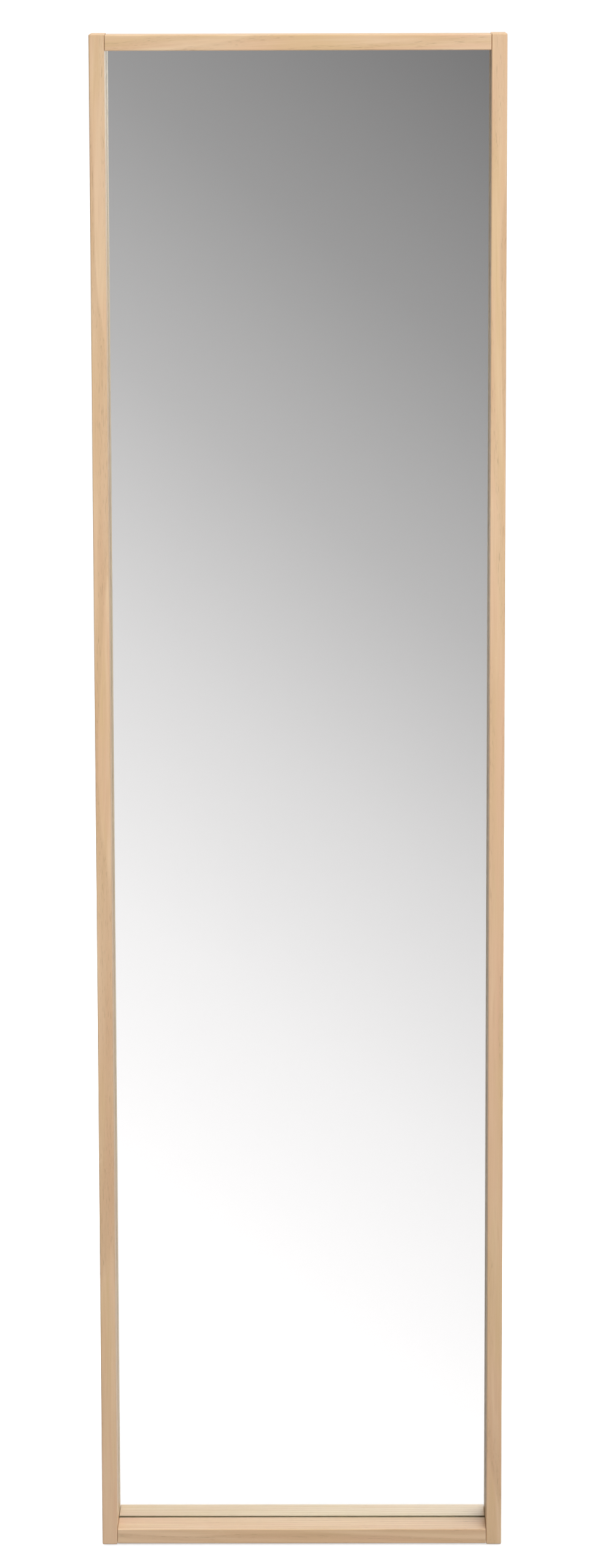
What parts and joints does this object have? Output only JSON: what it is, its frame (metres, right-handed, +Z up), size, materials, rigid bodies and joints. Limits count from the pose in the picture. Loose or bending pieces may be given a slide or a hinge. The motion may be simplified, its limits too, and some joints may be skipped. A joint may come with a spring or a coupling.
{
  "type": "floor mirror",
  "caption": "Tall narrow floor mirror: a deep oak frame with recessed silvered glass, leaning back on a folding easel strut behind it.",
  "frame": {"origin": "on the floor, under the middle of the open mirror's footprint", "axes": "+Z up, +X to the right seen from the front, the mirror faces -Y and leans back 4.5 degrees towards +Y"},
  "size_m": [0.4, 0.2934, 1.4968],
  "materials": {
    "frame_oak": "pale oiled oak, planed, arrises eased",
    "strut_oak": "pale oiled oak, planed",
    "dowel_beech": "fluted beech, glued",
    "silvered_glass": "clear float glass, silvered behind, edges ground",
    "hardboard": "plain hardboard, smooth face out",
    "hinge_zinc": "zinc-plated steel, bright",
    "screw_steel": "zinc-plated steel",
    "glide_nylon": "natural nylon",
    "pad_rubber": "soft dark rubber"
  },
  "bodies": {
    "mirror_frame": {"stile_left": "frame_oak", "stile_right": "frame_oak", "rail_top": "frame_oak", "rail_bottom": "frame_oak", "mirror_glass": "silvered_glass", "backing_board": "hardboard", "hinge_rail": "strut_oak", "frame_dowel_top_left_1": "dowel_beech", "frame_dowel_top_left_2": "dowel_beech", "frame_dowel_top_right_1": "dowel_beech", "frame_dowel_top_right_2": "dowel_beech", "frame_dowel_bottom_left_1": "dowel_beech", "frame_dowel_bottom_left_2": "dowel_beech", "frame_dowel_bottom_right_1": "dowel_beech", "frame_dowel_bottom_right_2": "dowel_beech", "hinge_rail_screw_left_1": "screw_steel", "hinge_rail_screw_left_2": "screw_steel", "hinge_rail_screw_right_1": "screw_steel", "hinge_rail_screw_right_2": "screw_steel", "glide_left_1": "glide_nylon", "glide_left_2": "glide_nylon", "glide_right_1": "glide_nylon", "glide_right_2": "glide_nylon", "fold_buffer_left": "pad_rubber", "fold_buffer_right": "pad_rubber", "hinge_left_frame_leaf": "hinge_zinc", "hinge_right_frame_leaf": "hinge_zinc", "hinge_left_pin": "screw_steel", "hinge_right_pin": "screw_steel", "hinge_left_frame_screw_1": "screw_steel", "hinge_left_frame_screw_2": "screw_steel", "hinge_right_frame_screw_1": "screw_steel", "hinge_right_frame_screw_2": "screw_steel"},
    "strut": {"strut_leg_left": "strut_oak", "strut_leg_right": "strut_oak", "strut_top_bar": "strut_oak", "strut_lower_bar": "strut_oak", "strut_dowel_top_left_1": "dowel_beech", "strut_dowel_top_left_2": "dowel_beech", "strut_dowel_top_right_1": "dowel_beech", "strut_dowel_top_right_2": "dowel_beech", "strut_dowel_lower_left_1": "dowel_beech", "strut_dowel_lower_left_2": "dowel_beech", "strut_dowel_lower_right_1": "dowel_beech", "strut_dowel_lower_right_2": "dowel_beech", "foot_pad_left": "pad_rubber", "foot_pad_right": "pad_rubber", "hinge_left_strut_leaf": "hinge_zinc", "hinge_right_strut_leaf": "hinge_zinc", "hinge_left_strut_screw_1": "screw_steel", "hinge_left_strut_screw_2": "screw_steel", "hinge_right_strut_screw_1": "screw_steel", "hinge_right_strut_screw_2": "screw_steel"}
  },
  "joints": [
    {"name": "strut_fold", "type": "hinge", "parent": "mirror_frame", "child": "strut", "pos_m": [0, 0.0044, 1.093], "axis": [1, 0, 0], "range_deg": [-11, 0]}
  ]
}
